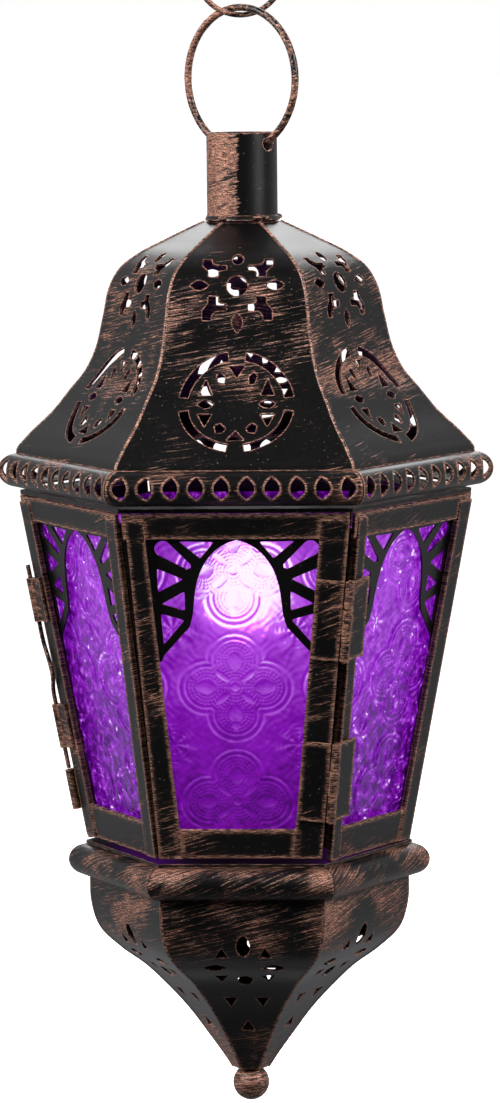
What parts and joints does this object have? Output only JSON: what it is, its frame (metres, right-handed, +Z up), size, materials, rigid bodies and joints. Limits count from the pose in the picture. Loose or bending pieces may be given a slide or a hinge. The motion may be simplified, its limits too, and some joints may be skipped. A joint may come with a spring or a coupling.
{
  "type": "candle lantern",
  "caption": "Hanging candle lantern: pierced six-sided metal body with embossed purple glass panes, a bent hinged door with a sliding latch, bell roof, ring and drop base.",
  "frame": {"origin": "hang point: the lowest point of the inside of the chain link's top, where a hook or the next link bears", "axes": "+Z up along the lantern's axis, -Y towards the front pane, +X to the right seen from the front"},
  "size_m": [0.1348, 0.1172, 0.3239],
  "materials": {
    "blackened_steel": "satin black paint brushed with copper",
    "copper_edge": "satin, coppered edges over black",
    "wire": "satin bronze wire",
    "pane": "embossed purple glass",
    "tin": "plain tinned sheet",
    "wax": "candle wax",
    "charred": "charred cotton wick"
  },
  "bodies": {
    "hanger": {"chain_link": "wire"},
    "ring": {"hanging_ring": "wire"},
    "lantern": {"collar": "copper_edge", "crown_plate": "blackened_steel", "top_plate": "blackened_steel", "floor_plate": "blackened_steel", "base_moulding": "copper_edge", "finial_ball": "copper_edge", "candle_cup": "tin", "latch_keeper": "copper_edge", "hinge_upper_frame_leaf": "copper_edge", "hinge_lower_frame_leaf": "copper_edge", "hinge_upper_pin": "copper_edge", "hinge_lower_pin": "copper_edge", "roof_panel_0": "blackened_steel", "gallery_strip_0": "copper_edge", "base_petal_0": "blackened_steel", "roof_panel_1": "blackened_steel", "gallery_strip_1": "copper_edge", "base_petal_1": "blackened_steel", "roof_panel_2": "blackened_steel", "gallery_strip_2": "copper_edge", "base_petal_2": "blackened_steel", "roof_panel_3": "blackened_steel", "gallery_strip_3": "copper_edge", "base_petal_3": "blackened_steel", "roof_panel_4": "blackened_steel", "gallery_strip_4": "copper_edge", "base_petal_4": "blackened_steel", "roof_panel_5": "blackened_steel", "gallery_strip_5": "copper_edge", "base_petal_5": "blackened_steel", "frame_1": "blackened_steel", "fretwork_1": "blackened_steel", "glass_1": "pane", "frame_2": "blackened_steel", "fretwork_2": "blackened_steel", "glass_2": "pane", "frame_3": "blackened_steel", "fretwork_3": "blackened_steel", "glass_3": "pane", "frame_4": "blackened_steel", "fretwork_4": "blackened_steel", "glass_4": "pane"},
    "door": {"frame_0": "blackened_steel", "fretwork_0": "blackened_steel", "glass_0": "pane", "frame_5": "blackened_steel", "fretwork_5": "blackened_steel", "glass_5": "pane", "door_corner_strip": "blackened_steel", "hinge_upper_door_leaf": "copper_edge", "hinge_lower_door_leaf": "copper_edge", "latch_guide_upper": "copper_edge", "latch_guide_lower": "copper_edge"},
    "bolt": {"latch_bolt": "wire"},
    "candle": {"candle": "wax", "wick": "charred"}
  },
  "joints": [
    {"name": "ring_swing", "type": "hinge", "parent": "hanger", "child": "ring", "pos_m": [0, 0, -0.02325], "axis": [0.9848, 0.1736, 0], "range_deg": [-35, 35]},
    {"name": "lantern_swing", "type": "hinge", "parent": "ring", "child": "lantern", "pos_m": [0, 0, -0.0577], "axis": [0.788, -0.6157, 0], "range_deg": [-75, 75]},
    {"name": "door_hinge", "type": "hinge", "parent": "lantern", "child": "door", "pos_m": [0.02733, -0.04733, -0.20165], "axis": [0.0919, -0.1591, 0.983], "range_deg": [0, 110]},
    {"name": "latch_slide", "type": "slide", "parent": "door", "child": "bolt", "axis": [-0.1837, 0, 0.983], "range_m": [-0.003, 0.004]},
    {"name": "candle_lift", "type": "slide", "parent": "lantern", "child": "candle", "axis": [0, 0, 1], "range_m": [0, 0.02]}
  ]
}
